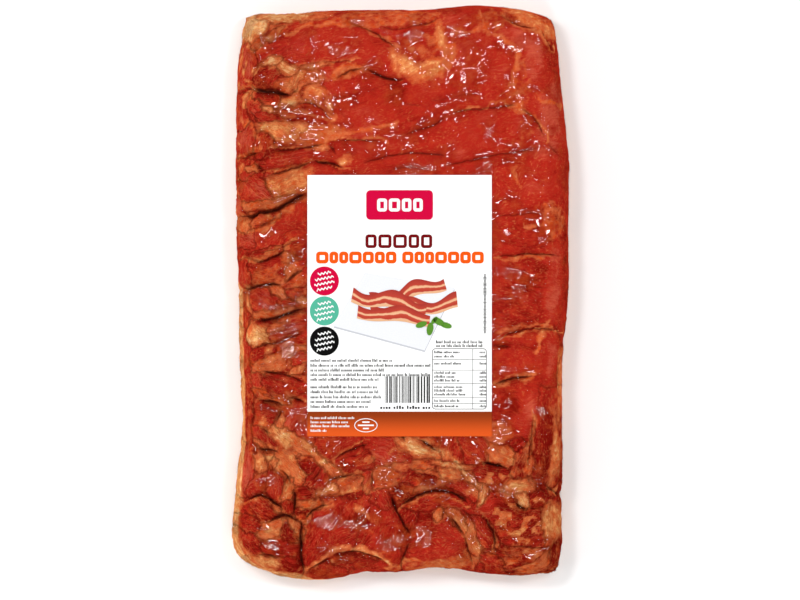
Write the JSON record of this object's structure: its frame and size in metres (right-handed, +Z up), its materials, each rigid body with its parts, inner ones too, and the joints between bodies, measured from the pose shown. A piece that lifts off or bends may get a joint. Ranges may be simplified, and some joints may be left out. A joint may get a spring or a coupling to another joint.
{
  "type": "vacuum-packed smoked bacon slab",
  "caption": "Whole slab of smoked bacon, folded lean side up, sealed skin-tight in clear vacuum film, with a flat paper label on top.",
  "frame": {"origin": "on the floor plane, under the centre of the pack's bounding box", "axes": "+Z up out of the lean side that carries the label, +Y along the length towards the top of the label, +X to the label's right"},
  "size_m": [0.2337, 0.3969, 0.0432],
  "materials": {
    "filmed_meat": "wet-looking clear film drawn tight over brick-red smoked lean and tan fat",
    "label_paper": "smooth white coated paper with printed fields of colour"
  },
  "bodies": {
    "root": {"vacuum_pack": "filmed_meat", "label": "label_paper"}
  },
  "joints": []
}
